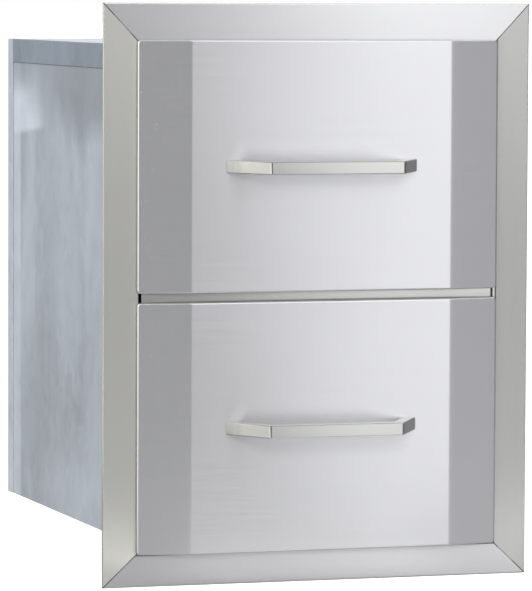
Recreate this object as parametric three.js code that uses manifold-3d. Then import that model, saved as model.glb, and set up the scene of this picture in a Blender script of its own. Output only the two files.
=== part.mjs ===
// Double drawer unit for an outdoor kitchen island.
// Millimetres, +X to the right, +Z up, and the drawers open towards -Y.
// The origin is on the seating plane behind the face frame, at the middle of the bottom outer hem.

import * as THREE from 'three';
import { mergeVertices } from 'three/addons/utils/BufferGeometryUtils.js';
import Module from 'manifold-3d';

const wasm = await Module();
wasm.setup();

// Fits and facets shared by every piece
const seatGap = 0.25;
const contactGap = 0.05;
const overrun = 5;
const samePoint = 1e-6;
const bendSteps = 3;
const roundSides = 12;

// Face frame: four mitred members with both edges hemmed
const frameWidth = 431.8;
const frameHeight = 558.8;
const sideFlange = 35.8;
const topFlange = 37.6;
const bottomFlange = 33.4;
const frameSheet = 1.2;
const hemGap = 0.3;
const outerHem = 12;
const innerHem = 8;
const mitreGap = 0.4;

// Enclosure of thin zinc coated sheet
const enclosureInset = 25.4;
const enclosureRise = 43.8;
const enclosureDrop = 39.6;
const enclosureDepth = 454.9;
const enclosureSheet = 0.9;
const enclosureBend = 0.6;
const topSkirt = 24;
const rearWrap = 21;
const bottomTurnUp = 14;
const sideFrontTurn = 9;
const topFrontTurn = 11;
const bottomFrontTurn = 16;
const turnReach = 20;
const fixingHoleRadius = 2.5;
const fixingHoleSetback = 11;
const fixingHoleMargin = 40;

// Drawer fronts: bevelled pans that overlap the frame
const frontOverlay = 2.4;
const frontSpacing = 9;
const frontStandoff = 0.9;
const edgeProud = 4;
const centreProud = 11.5;
const bevelStrip = 49.5;
const bevelBend = 20;
const skinSheet = 1;
const skinEdgeBend = 1.1;
const skinRimBend = 0.9;
const skinCorner = 3.5;
const linerSheet = 1.2;

// Bow handles and their screws
const handleSpan = 192.5;
const handleReach = 49;
const handleLegRun = 28.75;
const handleBar = 12;
const handleOuterBend = 3;
const handleInnerBend = 1.5;
const handleChamfer = 0.7;
const screwRadius = 2.5;
const screwHeadRadius = 4.6;
const screwHeadHeight = 2.8;
const screwGrip = 7.5;
const screwTipRoom = 0.8;
const screwShift = 2.2;
const screwClearance = 0.3;

// Drawer trays
const trayRise = 20;
const trayTopRoom = 31.8;
const trayDepth = 416;
const traySheet = 1;
const trayBend = 0.6;
const trayLip = 6;
const trayWallTurn = 14;

// Rail between the two drawers
const railOverlap = 1.2;
const railDepth = 24;
const railSheet = 1.2;
const railBend = 0.6;
const railEndSlot = 2.6;
const railTabHeight = 30;
const railTabSetback = 2;

// Posts that carry the slides
const postSheet = 1.2;
const postFoot = 12;
const postWeb = 36;
const postBend = 0.6;
const frontPostStart = 20;
const rearPostEnd = 408;

// Ball bearing slides: three members and two ball cages on each side of a drawer
const slideThickness = 12.7;
const slideHeight = 45;
const slideLength = 406.4;
const slideTravel = 400;
const slideStart = 4;
const slideRise = 70;
const slideBend = 0.4;
const cabinetSheet = 1.2;
const cabinetFlange = 9.6;
const cabinetLip = 3;
const runnerSheet = 1;
const runnerOffset = 2.2;
const runnerFlange = 8.4;
const runnerLip = 2;
const runnerOpeningClearance = 1.2;
const memberSheet = 1.2;
const memberFlange = 8.1;
const ballRadius = 2;
const ballPlay = 0.13;
const ballPairs = 6;
const ballSides = 6;
const ballRings = 4;
const outerBallInset = 5.5;
const innerBallInset = 7.6;
const cageSheet = 0.4;
const cageFlange = 6.4;
const cagePlay = 0.3;
const cageMargin = 4;
const stopLength = 6.5;
const stopWidth = 6.6;
const stopCorner = 2;
const slotLength = 14;
const slotWidth = 4.6;
const slotEndInset = 32;

// Places worked out from the sizes above
const frameDepth = 2 * frameSheet + hemGap;
const frameFront = -frameDepth;
const frameBottom = -outerHem / 2;
const frameTop = frameBottom + frameHeight;
const openingHalf = frameWidth / 2 - sideFlange;
const openingBottom = frameBottom + bottomFlange;
const openingTop = frameTop - topFlange;

const enclosureHalf = frameWidth / 2 - enclosureInset;
const enclosureBottom = frameBottom + enclosureRise;
const enclosureTop = frameTop - enclosureDrop;
const enclosureFront = seatGap;
const foldClearance = enclosureBend + contactGap;
const sideOuter = enclosureHalf - enclosureSheet - contactGap;
const sideInner = sideOuter - enclosureSheet;
const backInner = enclosureDepth - enclosureSheet;
const wrapFront = enclosureDepth - rearWrap;
const underTop = enclosureTop - enclosureSheet - foldClearance;

const frontHalf = openingHalf + frontOverlay;
const frontHeight = (openingTop - openingBottom + 2 * frontOverlay - frontSpacing) / 2;
const frontBack = frameFront - frontStandoff;
const frontEdge = frameFront - edgeProud;
const panelFront = frameFront - centreProud;
const bevelHalf = frontHalf - bevelStrip;
const lowerFrontBottom = openingBottom - frontOverlay;
const upperFrontBottom = lowerFrontBottom + frontHeight + frontSpacing;
const railCentre = upperFrontBottom - frontSpacing / 2;
const railHeight = frontSpacing + 2 * railOverlap;

const slideOuter = openingHalf - runnerOpeningClearance + runnerOffset;
const slideEnd = slideStart + slideLength;
const trayHalf = slideOuter - slideThickness;
const trayFront = frontBack + seatGap;
const trayBack = trayFront + trayDepth;
const trayHeight = frontHeight - trayRise - trayTopRoom;
const trayWallHalf = trayHalf - traySheet - seatGap;
const frontPostWeb = frontPostStart + postFoot + postWeb / 2;
const rearPostWeb = rearPostEnd - postFoot - postWeb / 2;

const outerBallHeight = slideHeight / 2 - cabinetSheet - ballPlay - ballRadius;
const runnerHalf = outerBallHeight - ballRadius - ballPlay;
const innerBallHeight = runnerHalf - runnerSheet - ballPlay - ballRadius;
const memberHalf = innerBallHeight - ballRadius - ballPlay;
const cageStart = slideStart + slideTravel / 4 + cageMargin;
const cageEnd = slideStart + slideLength - slideTravel / 4 - cageMargin;

const legSlope = Math.atan2(handleReach, handleLegRun);
const footWidth = handleBar / Math.sin(legSlope);
const handleBack = panelFront - seatGap;
const handleHeight = frontHeight / 2;
const screwOffset = handleSpan / 2 - footWidth / 2 - screwShift;
const screwSeat = trayFront + traySheet + seatGap;
const screwTip = panelFront - screwGrip;

// Colours and sheen of the bare materials
const brushedSteel = { color: 0xc4c4c6, roughness: 0.36, metalness: 1 };
const satinSteel = { color: 0xd2d2d0, roughness: 0.28, metalness: 1 };
const plainSteel = { color: 0xb9babb, roughness: 0.42, metalness: 1 };
const galvanised = { color: 0xa6adb3, roughness: 0.5, metalness: 0.9 };
const zincPlate = { color: 0xb4b7ba, roughness: 0.35, metalness: 1 };
const ballSteel = { color: 0xd0d2d4, roughness: 0.2, metalness: 1 };
const blackRubber = { color: 0x1d1d1e, roughness: 0.85, metalness: 0 };

function piece(name, geometry, look) {
  const mesh = new THREE.Mesh(geometry, new THREE.MeshStandardMaterial(look));
  mesh.name = name;
  return mesh;
}

function groupOf(children) {
  const holder = new THREE.Group();
  holder.add(...children);
  return holder;
}

// Joining and cutting of solids

function toSolid(geometry) {
  const bare = geometry.clone();
  bare.deleteAttribute('normal');
  bare.deleteAttribute('uv');
  const welded = mergeVertices(bare);
  const vertProperties = new Float32Array(welded.attributes.position.array);
  const triVerts = new Uint32Array(welded.index.array);
  return new wasm.Manifold(new wasm.Mesh({ numProp: 3, vertProperties, triVerts }));
}

function toGeometry(solid) {
  const mesh = solid.getMesh();
  const geometry = new THREE.BufferGeometry();
  geometry.setAttribute('position', new THREE.BufferAttribute(mesh.vertProperties, 3));
  geometry.setIndex(new THREE.BufferAttribute(mesh.triVerts, 1));
  geometry.computeVertexNormals();
  return geometry;
}

function join(first, ...others) {
  return toGeometry(others.reduce((sum, other) => sum.add(toSolid(other)), toSolid(first)));
}

function cut(first, ...others) {
  return toGeometry(others.reduce((sum, other) => sum.subtract(toSolid(other)), toSolid(first)));
}

function common(first, second) {
  return toGeometry(toSolid(first).intersect(toSolid(second)));
}

// Outlines

function corner(x, y, radius = 0) {
  return { x, y, radius };
}

// The closed outline through the corners, each rounded by an arc tangent to both its sides
function roundedOutline(corners) {
  const points = [];
  const add = (point) => {
    if (points.length === 0 || points.at(-1).distanceTo(point) > samePoint) points.push(point);
  };
  corners.forEach((here, index) => {
    const tip = new THREE.Vector2(here.x, here.y);
    if (here.radius === 0) {
      add(tip);
      return;
    }
    const before = corners.at(index - 1);
    const after = corners[(index + 1) % corners.length];
    const back = new THREE.Vector2(before.x, before.y).sub(tip).normalize();
    const ahead = new THREE.Vector2(after.x, after.y).sub(tip).normalize();
    const half = Math.acos(back.dot(ahead)) / 2;
    const inward = back.clone().add(ahead).normalize();
    const hub = tip.clone().addScaledVector(inward, here.radius / Math.sin(half));
    const spoke = tip.clone().addScaledVector(back, here.radius / Math.tan(half)).sub(hub);
    const sweep = -Math.sign(back.cross(ahead)) * (Math.PI - 2 * half);
    for (let step = 0; step <= bendSteps; step += 1) {
      const angle = sweep * step / bendSteps;
      add(spoke.clone().rotateAround(new THREE.Vector2(), angle).add(hub));
    }
  });
  return new THREE.Shape(points);
}

// A folded sheet seen end on: one face follows the points and the other lies to their left
function foldedSheet(points, thickness, insideBend) {
  const path = points.map(([x, y]) => new THREE.Vector2(x, y));
  const near = [];
  const far = [];
  path.forEach((point, index) => {
    const before = path[index - 1] ?? point.clone().multiplyScalar(2).sub(path[index + 1]);
    const after = path[index + 1] ?? point.clone().multiplyScalar(2).sub(before);
    const arrive = point.clone().sub(before).normalize();
    const leave = after.clone().sub(point).normalize();
    const left = new THREE.Vector2(-arrive.y, arrive.x);
    const bisector = new THREE.Vector2(-leave.y, leave.x).add(left).normalize();
    const other = point.clone().addScaledVector(bisector, thickness / bisector.dot(left));
    const isEnd = index === 0 || index === path.length - 1;
    const turnsLeft = arrive.cross(leave) > 0;
    const inside = isEnd ? 0 : insideBend;
    const outside = isEnd ? 0 : insideBend + thickness;
    near.push(corner(point.x, point.y, turnsLeft ? outside : inside));
    far.unshift(corner(other.x, other.y, turnsLeft ? inside : outside));
  });
  return roundedOutline([...near, ...far]);
}

function roundedRectangle(left, bottom, right, top, radius) {
  return roundedOutline([
    corner(left, bottom, radius),
    corner(right, bottom, radius),
    corner(right, top, radius),
    corner(left, top, radius),
  ]);
}

function mirrored(shape, side) {
  return new THREE.Shape(shape.getPoints().map((point) => new THREE.Vector2(side * point.x, point.y)));
}

// Prisms along each axis between two places, and round bars

function prismZ(shape, start, end) {
  const geometry = new THREE.ExtrudeGeometry(shape, { depth: end - start, bevelEnabled: false });
  return geometry.translate(0, 0, start);
}

function prismY(shape, start, end) {
  const geometry = new THREE.ExtrudeGeometry(shape, { depth: end - start, bevelEnabled: false });
  return geometry.rotateX(Math.PI / 2).translate(0, end, 0);
}

function prismX(shape, start, end) {
  const geometry = new THREE.ExtrudeGeometry(shape, { depth: end - start, bevelEnabled: false });
  return geometry.rotateY(Math.PI / 2).rotateX(Math.PI / 2).translate(start, 0, 0);
}

function block(x0, x1, y0, y1, z0, z1) {
  const geometry = new THREE.BoxGeometry(x1 - x0, y1 - y0, z1 - z0);
  return geometry.translate((x0 + x1) / 2, (y0 + y1) / 2, (z0 + z1) / 2);
}

function rodY(radius, x, z, start, end) {
  const geometry = new THREE.CylinderGeometry(radius, radius, end - start, roundSides);
  return geometry.translate(x, (start + end) / 2, z);
}

function rodX(radius, y, z, start, end) {
  const geometry = new THREE.CylinderGeometry(radius, radius, end - start, roundSides);
  return geometry.rotateZ(Math.PI / 2).translate((start + end) / 2, y, z);
}

// Face frame

function hemmedSection(width) {
  const path = [
    [outerHem, frameDepth],
    [0, frameDepth],
    [0, 0],
    [width, 0],
    [width, frameDepth],
    [width - innerHem, frameDepth],
  ];
  return foldedSheet(path, frameSheet, hemGap / 2);
}

// The ends slant from the frame's outer corners to its inner ones
function mitredBar(width, length, startNeighbour, endNeighbour) {
  const geometry = prismZ(hemmedSection(width), 0, length);
  const position = geometry.attributes.position;
  for (let index = 0; index < position.count; index += 1) {
    const atStart = position.getZ(index) < length / 2;
    const neighbour = atStart ? startNeighbour : endNeighbour;
    const trim = position.getX(index) * neighbour / width + mitreGap / 2;
    position.setZ(index, atStart ? trim : length - trim);
  }
  return geometry;
}

function frameMember(name, bar, inward, along, x, z) {
  const member = piece(name, bar, brushedSteel);
  const backward = new THREE.Vector3(0, 1, 0);
  member.applyMatrix4(new THREE.Matrix4().makeBasis(inward, backward, along).setPosition(x, frameFront, z));
  return member;
}

function faceFrame() {
  const right = new THREE.Vector3(1, 0, 0);
  const left = new THREE.Vector3(-1, 0, 0);
  const up = new THREE.Vector3(0, 0, 1);
  const down = new THREE.Vector3(0, 0, -1);
  const half = frameWidth / 2;
  const topBar = mitredBar(topFlange, frameWidth, sideFlange, sideFlange);
  const bottomBar = mitredBar(bottomFlange, frameWidth, sideFlange, sideFlange);
  const leftBar = mitredBar(sideFlange, frameHeight, bottomFlange, topFlange);
  const rightBar = mitredBar(sideFlange, frameHeight, topFlange, bottomFlange);
  return groupOf([
    frameMember('frame_top', topBar, down, right, -half, frameTop),
    frameMember('frame_bottom', bottomBar, up, left, half, frameBottom),
    frameMember('frame_left', leftBar, right, up, -half, frameBottom),
    frameMember('frame_right', rightBar, left, down, half, frameTop),
  ]);
}

// Rail between the drawers, with a welded tab at each end that reaches back to the post

function midRail() {
  const half = openingHalf - railEndSlot;
  const bottom = railCentre - railHeight / 2;
  const top = railCentre + railHeight / 2;
  const back = frameFront + railDepth;
  const path = [[back, top], [frameFront, top], [frameFront, bottom], [back, bottom]];
  const channel = prismX(foldedSheet(path, railSheet, railBend), -half, half);
  const ears = [-1, 1].flatMap((side) => {
    const [inner, outer] = [side * (half - overrun), side * slideOuter].sort((a, b) => a - b);
    const [tabInner, tabOuter] = [side * (slideOuter - railSheet), side * slideOuter].sort((a, b) => a - b);
    const tabBottom = railCentre - railTabHeight / 2;
    return [
      block(inner, outer, railTabSetback, back, top - railSheet, top),
      block(inner, outer, railTabSetback, back, bottom, bottom + railSheet),
      block(tabInner, tabOuter, railTabSetback, frontPostWeb, tabBottom, tabBottom + railTabHeight),
    ];
  });
  return piece('mid_rail', join(channel, ...ears), brushedSteel);
}

// Enclosure

function enclosureSide(name, side) {
  const path = [
    [sideOuter - sideFrontTurn, enclosureFront],
    [sideOuter, enclosureFront],
    [sideOuter, backInner - foldClearance],
  ];
  const section = mirrored(foldedSheet(path, enclosureSheet, enclosureBend), side);
  const holes = [enclosureBottom + fixingHoleMargin, enclosureTop - fixingHoleMargin].map((height) => {
    const [start, end] = [side * (sideInner - overrun), side * (sideOuter + overrun)].sort((a, b) => a - b);
    return rodX(fixingHoleRadius, fixingHoleSetback, height, start, end);
  });
  return piece(name, cut(prismZ(section, enclosureBottom, underTop), ...holes), galvanised);
}

// The hood's skirts end at the rear wrap, and a narrower plate runs on between the wraps
function enclosureLid() {
  const skirtEnd = enclosureTop - topSkirt;
  const hood = [
    [enclosureHalf, skirtEnd],
    [enclosureHalf, enclosureTop],
    [-enclosureHalf, enclosureTop],
    [-enclosureHalf, skirtEnd],
  ];
  const underside = enclosureTop - enclosureSheet;
  const frontTurn = [
    [enclosureFront, enclosureTop + topFrontTurn],
    [enclosureFront, underside],
    [enclosureFront + turnReach, underside],
  ];
  const hoodEnd = wrapFront - seatGap;
  const plateHalf = enclosureHalf - enclosureSheet - foldClearance;
  const plateEnd = backInner - contactGap;
  const hoodBody = prismY(foldedSheet(hood, enclosureSheet, enclosureBend), enclosureFront, hoodEnd);
  const turnBody = prismX(foldedSheet(frontTurn, enclosureSheet, enclosureBend), -sideInner, sideInner);
  const plate = block(-plateHalf, plateHalf, hoodEnd - overrun, plateEnd, underside, enclosureTop);
  return piece('enclosure_top', join(hoodBody, turnBody, plate), galvanised);
}

function enclosureFloor() {
  const half = sideInner - contactGap;
  const turnHalf = sideOuter - sideFrontTurn - seatGap;
  const upperFace = enclosureBottom + enclosureSheet;
  const floor = [
    [-half, enclosureBottom + bottomTurnUp],
    [-half, enclosureBottom],
    [half, enclosureBottom],
    [half, enclosureBottom + bottomTurnUp],
  ];
  const frontTurn = [
    [enclosureFront + turnReach, upperFace],
    [enclosureFront, upperFace],
    [enclosureFront, enclosureBottom - bottomFrontTurn],
  ];
  const floorFront = enclosureFront + enclosureSheet + foldClearance;
  const floorSection = foldedSheet(floor, enclosureSheet, enclosureBend);
  const floorBody = prismY(floorSection, floorFront, backInner - foldClearance);
  const turnBody = prismX(foldedSheet(frontTurn, enclosureSheet, enclosureBend), -turnHalf, turnHalf);
  return piece('enclosure_bottom', join(floorBody, turnBody), galvanised);
}

function enclosureBack() {
  const wrap = [
    [enclosureHalf, wrapFront],
    [enclosureHalf, enclosureDepth],
    [-enclosureHalf, enclosureDepth],
    [-enclosureHalf, wrapFront],
  ];
  const section = foldedSheet(wrap, enclosureSheet, enclosureBend);
  return piece('enclosure_back', prismZ(section, enclosureBottom, enclosureTop), galvanised);
}

function slidePost(name, side, start) {
  const foot = sideInner - contactGap;
  const web = slideOuter + contactGap + postSheet;
  const webStart = start + postFoot;
  const webEnd = webStart + postWeb;
  const path = [
    [foot, start],
    [foot, webStart],
    [web, webStart],
    [web, webEnd],
    [foot, webEnd],
    [foot, webEnd + postFoot],
  ];
  const section = mirrored(foldedSheet(path, postSheet, postBend), side);
  const bottom = enclosureBottom + bottomTurnUp + seatGap;
  return piece(name, prismZ(section, bottom, underTop), galvanised);
}

function enclosure() {
  const rearPostStart = rearPostEnd - 2 * postFoot - postWeb;
  return groupOf([
    enclosureSide('enclosure_left', -1),
    enclosureSide('enclosure_right', 1),
    enclosureLid(),
    enclosureFloor(),
    enclosureBack(),
    slidePost('post_front_left', -1, frontPostStart),
    slidePost('post_front_right', 1, frontPostStart),
    slidePost('post_rear_left', -1, rearPostStart),
    slidePost('post_rear_right', 1, rearPostStart),
  ]);
}

// Slides. Each section is drawn as distance in from the cabinet side and height from the centre line

function slideSection(shape, side) {
  const place = (point) => new THREE.Vector2(side * (slideOuter - point.x), point.y);
  return new THREE.Shape(shape.getPoints().map(place));
}

function lippedChannel(inset, halfHeight, flange, lip, sheet) {
  const lipAt = inset + flange;
  const path = [
    [lipAt, halfHeight - lip],
    [lipAt, halfHeight],
    [inset, halfHeight],
    [inset, -halfHeight],
    [lipAt, -halfHeight],
    [lipAt, lip - halfHeight],
  ];
  return foldedSheet(path, sheet, slideBend);
}

function slots(places, side, fromInset, toInset) {
  const near = side * (slideOuter - fromInset + overrun);
  const far = side * (slideOuter - toInset - overrun);
  const half = slotLength / 2;
  const radius = slotWidth / 2;
  return places.map((place) => {
    const outline = roundedRectangle(place - half, -radius, place + half, radius, radius);
    return prismX(outline, Math.min(near, far), Math.max(near, far));
  });
}

function cabinetMember(side) {
  const channel = lippedChannel(0, slideHeight / 2, cabinetFlange, cabinetLip, cabinetSheet);
  const end = slideEnd + 2 * seatGap + stopLength;
  const body = prismY(slideSection(channel, side), slideStart, end);
  return cut(body, ...slots([frontPostWeb, rearPostWeb], side, 0, cabinetSheet));
}

function runner(side) {
  const channel = lippedChannel(runnerOffset, runnerHalf, runnerFlange, runnerLip, runnerSheet);
  return prismY(slideSection(channel, side), slideStart, slideEnd);
}

function drawerMember(side) {
  const tip = slideThickness - memberFlange;
  const path = [
    [tip, -memberHalf],
    [slideThickness, -memberHalf],
    [slideThickness, memberHalf],
    [tip, memberHalf],
  ];
  const section = slideSection(foldedSheet(path, memberSheet, slideBend), side);
  const middle = (slideStart + slideEnd) / 2;
  const places = [slideStart + slotEndInset, middle, slideEnd - slotEndInset];
  const web = slideThickness - memberSheet;
  return cut(prismY(section, slideStart, slideEnd), ...slots(places, side, web, slideThickness));
}

function ballCage(side, inset, ballInset, ballHeight) {
  const edge = ballHeight + cageSheet / 2;
  const path = [
    [inset + cageFlange, edge],
    [inset, edge],
    [inset, -edge],
    [inset + cageFlange, -edge],
  ];
  const strip = prismY(slideSection(foldedSheet(path, cageSheet, 0), side), cageStart, cageEnd);
  const pitch = (cageEnd - cageStart) / ballPairs;
  const balls = [];
  for (let index = 0; index < ballPairs; index += 1) {
    [-ballHeight, ballHeight].forEach((height) => {
      const ball = new THREE.SphereGeometry(ballRadius, ballSides, ballRings).rotateX(Math.PI / 2);
      balls.push(ball.translate(side * (slideOuter - ballInset), cageStart + pitch * (index + 1 / 2), height));
    });
  }
  return join(strip, ...balls);
}

function endStop(side) {
  const start = cabinetSheet + cagePlay;
  const half = slideHeight / 2 - cabinetSheet - cagePlay;
  const section = slideSection(roundedRectangle(start, -half, start + stopWidth, half, stopCorner), side);
  return prismY(section, slideEnd + seatGap, slideEnd + seatGap + stopLength);
}

function slide(level, hand, side) {
  const outerInset = cabinetSheet + cagePlay;
  const innerInset = runnerOffset + runnerSheet + cagePlay;
  const outerCage = ballCage(side, outerInset, outerBallInset, outerBallHeight);
  const innerCage = ballCage(side, innerInset, innerBallInset, innerBallHeight);
  return groupOf([
    piece(`${level}_${hand}_cabinet_member`, cabinetMember(side), zincPlate),
    piece(`${level}_${hand}_end_stop`, endStop(side), blackRubber),
    piece(`${level}_${hand}_outer_balls`, outerCage, ballSteel),
    piece(`${level}_${hand}_runner`, runner(side), zincPlate),
    piece(`${level}_${hand}_inner_balls`, innerCage, ballSteel),
    piece(`${level}_${hand}_drawer_member`, drawerMember(side), zincPlate),
  ]);
}

// Drawers, with heights from the lower edge of the front

function panOutline(inset) {
  const half = frontHalf - inset;
  const back = frontBack + overrun;
  const edge = frontEdge + inset;
  const centre = panelFront + inset;
  const edgeBend = Math.max(skinEdgeBend - inset, 0);
  return roundedOutline([
    corner(-half, back),
    corner(-half, edge, edgeBend),
    corner(-bevelHalf, centre, bevelBend - inset),
    corner(bevelHalf, centre, bevelBend - inset),
    corner(half, edge, edgeBend),
    corner(half, back),
  ]);
}

function frontOutline(inset) {
  const half = frontHalf - inset;
  return roundedRectangle(-half, inset, half, frontHeight - inset, skinCorner - inset);
}

function screwHoles(start, end) {
  const radius = screwRadius + screwClearance;
  return [-screwOffset, screwOffset].map((x) => rodY(radius, x, handleHeight, start, end));
}

// Two shallow bends set the side strips back, and the rim turns back all round
function frontSkin() {
  const rolled = new THREE.ExtrudeGeometry(panOutline(0), {
    depth: frontHeight - 2 * skinRimBend,
    bevelThickness: skinRimBend,
    bevelSize: skinRimBend,
    bevelOffset: -skinRimBend,
    bevelSegments: bendSteps,
  });
  rolled.translate(0, 0, skinRimBend);
  const outside = common(rolled, prismY(frontOutline(0), panelFront - overrun, frontBack));
  const hollow = common(
    prismZ(panOutline(skinSheet), skinSheet, frontHeight - skinSheet),
    prismY(frontOutline(skinSheet), panelFront, frontBack + overrun),
  );
  return cut(outside, hollow, ...screwHoles(panelFront - overrun, frontBack));
}

function frontLiner() {
  const plate = prismY(frontOutline(skinSheet + seatGap), frontBack - linerSheet, frontBack);
  return cut(plate, ...screwHoles(panelFront, frontBack + overrun));
}

function bowHandle() {
  const foot = handleSpan / 2;
  const outerBend = foot - handleLegRun;
  const innerReach = handleReach - handleBar;
  const innerFoot = foot - footWidth;
  const innerBend = innerFoot - innerReach / Math.tan(legSlope);
  const outer = handleBack - handleReach;
  const inner = handleBack - innerReach;
  const outline = roundedOutline([
    corner(-foot, handleBack),
    corner(-outerBend, outer, handleOuterBend),
    corner(outerBend, outer, handleOuterBend),
    corner(foot, handleBack),
    corner(innerFoot, handleBack),
    corner(innerBend, inner, handleInnerBend),
    corner(-innerBend, inner, handleInnerBend),
    corner(-innerFoot, handleBack),
  ]);
  const bar = new THREE.ExtrudeGeometry(outline, {
    depth: handleBar - 2 * handleChamfer,
    bevelThickness: handleChamfer,
    bevelSize: handleChamfer,
    bevelOffset: -handleChamfer,
    bevelSegments: 1,
  });
  bar.translate(0, 0, handleHeight - handleBar / 2 + handleChamfer);
  return cut(bar, ...screwHoles(screwTip - screwTipRoom, handleBack + overrun));
}

function handleScrew(x) {
  const rimHeight = screwHeadHeight / 2;
  const crownRadius = screwHeadRadius * Math.SQRT1_2;
  const profile = [
    new THREE.Vector2(0, screwTip - screwSeat),
    new THREE.Vector2(screwRadius, screwTip - screwSeat),
    new THREE.Vector2(screwRadius, 0),
    new THREE.Vector2(screwHeadRadius, 0),
    new THREE.Vector2(screwHeadRadius, rimHeight),
    new THREE.Vector2(crownRadius, screwHeadHeight),
    new THREE.Vector2(0, screwHeadHeight),
  ];
  return new THREE.LatheGeometry(profile, roundSides).translate(x, screwSeat, handleHeight);
}

function trayPan() {
  const bottom = trayRise;
  const top = trayRise + trayHeight - traySheet;
  const path = [
    [-trayHalf - trayLip, top],
    [-trayHalf, top],
    [-trayHalf, bottom],
    [trayHalf, bottom],
    [trayHalf, top],
    [trayHalf + trayLip, top],
  ];
  return prismY(foldedSheet(path, traySheet, trayBend), trayFront, trayBack);
}

function trayWall(path) {
  const bottom = trayRise + traySheet + seatGap;
  return prismZ(foldedSheet(path, traySheet, trayBend), bottom, trayRise + trayHeight - traySheet);
}

function trayFrontWall() {
  const wall = trayWall([
    [-trayWallHalf, trayFront + trayWallTurn],
    [-trayWallHalf, trayFront],
    [trayWallHalf, trayFront],
    [trayWallHalf, trayFront + trayWallTurn],
  ]);
  return cut(wall, ...screwHoles(trayFront - overrun, trayFront + overrun));
}

function trayBackWall() {
  return trayWall([
    [trayWallHalf, trayBack - trayWallTurn],
    [trayWallHalf, trayBack],
    [-trayWallHalf, trayBack],
    [-trayWallHalf, trayBack - trayWallTurn],
  ]);
}

function drawer(level, bottom) {
  const box = groupOf([
    piece(`${level}_front_skin`, frontSkin(), brushedSteel),
    piece(`${level}_front_liner`, frontLiner(), plainSteel),
    piece(`${level}_handle`, bowHandle(), satinSteel),
    piece(`${level}_left_handle_screw`, handleScrew(-screwOffset), zincPlate),
    piece(`${level}_right_handle_screw`, handleScrew(screwOffset), zincPlate),
    piece(`${level}_tray_pan`, trayPan(), plainSteel),
    piece(`${level}_tray_front`, trayFrontWall(), plainSteel),
    piece(`${level}_tray_back`, trayBackWall(), plainSteel),
  ]);
  const slides = groupOf([slide(level, 'left', -1), slide(level, 'right', 1)]);
  slides.position.z = trayRise + slideRise;
  const whole = groupOf([box, slides]);
  whole.position.z = bottom;
  return whole;
}

const unit = groupOf([
  faceFrame(),
  midRail(),
  enclosure(),
  drawer('lower', lowerFrontBottom),
  drawer('upper', upperFrontBottom),
]);

export default unit;
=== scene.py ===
"""Drawer unit for an outdoor kitchen island: fine shapes, finishes, light and camera.

Metres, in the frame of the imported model: +X to the right, +Z up, and the drawers open towards -Y.
"""

import math

import bmesh
import bpy
from mathutils import Matrix, Vector


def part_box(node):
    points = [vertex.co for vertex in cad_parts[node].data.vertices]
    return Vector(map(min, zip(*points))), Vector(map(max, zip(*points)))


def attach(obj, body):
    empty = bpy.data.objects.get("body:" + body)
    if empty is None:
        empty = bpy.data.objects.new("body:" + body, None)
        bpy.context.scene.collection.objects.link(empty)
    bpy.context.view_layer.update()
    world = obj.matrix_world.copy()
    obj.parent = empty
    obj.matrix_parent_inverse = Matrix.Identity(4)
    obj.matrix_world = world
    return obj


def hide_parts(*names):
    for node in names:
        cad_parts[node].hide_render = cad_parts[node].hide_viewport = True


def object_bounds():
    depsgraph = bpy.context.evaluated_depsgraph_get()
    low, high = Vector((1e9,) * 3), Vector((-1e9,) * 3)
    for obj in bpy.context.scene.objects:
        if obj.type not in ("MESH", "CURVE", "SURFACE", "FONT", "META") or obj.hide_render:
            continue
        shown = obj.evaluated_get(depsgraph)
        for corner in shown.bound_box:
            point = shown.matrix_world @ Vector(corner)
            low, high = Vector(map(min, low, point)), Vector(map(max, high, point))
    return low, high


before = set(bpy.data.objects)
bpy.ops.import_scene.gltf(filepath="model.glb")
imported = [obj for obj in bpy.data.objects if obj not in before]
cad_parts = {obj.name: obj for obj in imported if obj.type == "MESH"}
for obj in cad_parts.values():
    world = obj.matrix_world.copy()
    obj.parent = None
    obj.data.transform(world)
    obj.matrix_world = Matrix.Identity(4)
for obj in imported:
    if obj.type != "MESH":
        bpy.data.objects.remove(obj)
cad_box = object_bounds()

MM = 0.001
LEVELS = ("lower", "upper")
HANDS = {"left": -1, "right": 1}


def low(node):
    """Lowest corner of a frame node, in metres."""
    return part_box(node)[0]


def high(node):
    """Highest corner of a frame node, in metres."""
    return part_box(node)[1]


# Materials: how deep the steel's grain is, and how much of its light shades as metal
FINE_GRAIN = 0.0004 * MM
COARSE_GRAIN = 0.002 * MM
SATIN = 0.93
DULL = 0.85
# Colours of dark lines: dark joints and painted shade on steel, painted shade along the laps on
# zinc
SEAM_AND_SHADE_COLOUR = (0.02, 0.02, 0.02)
LAP_SHADE_COLOUR = (0.05, 0.055, 0.06)
# How soft the straight end of a patch is; the patches include painted sheen and painted shadow
PATCH_END_SOFTNESS = 4 * MM


def new_material(name):
    """An empty node material and its shader."""
    material = bpy.data.materials.new(name)
    material.use_nodes = True
    return material, material.node_tree.nodes["Principled BSDF"]


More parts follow.
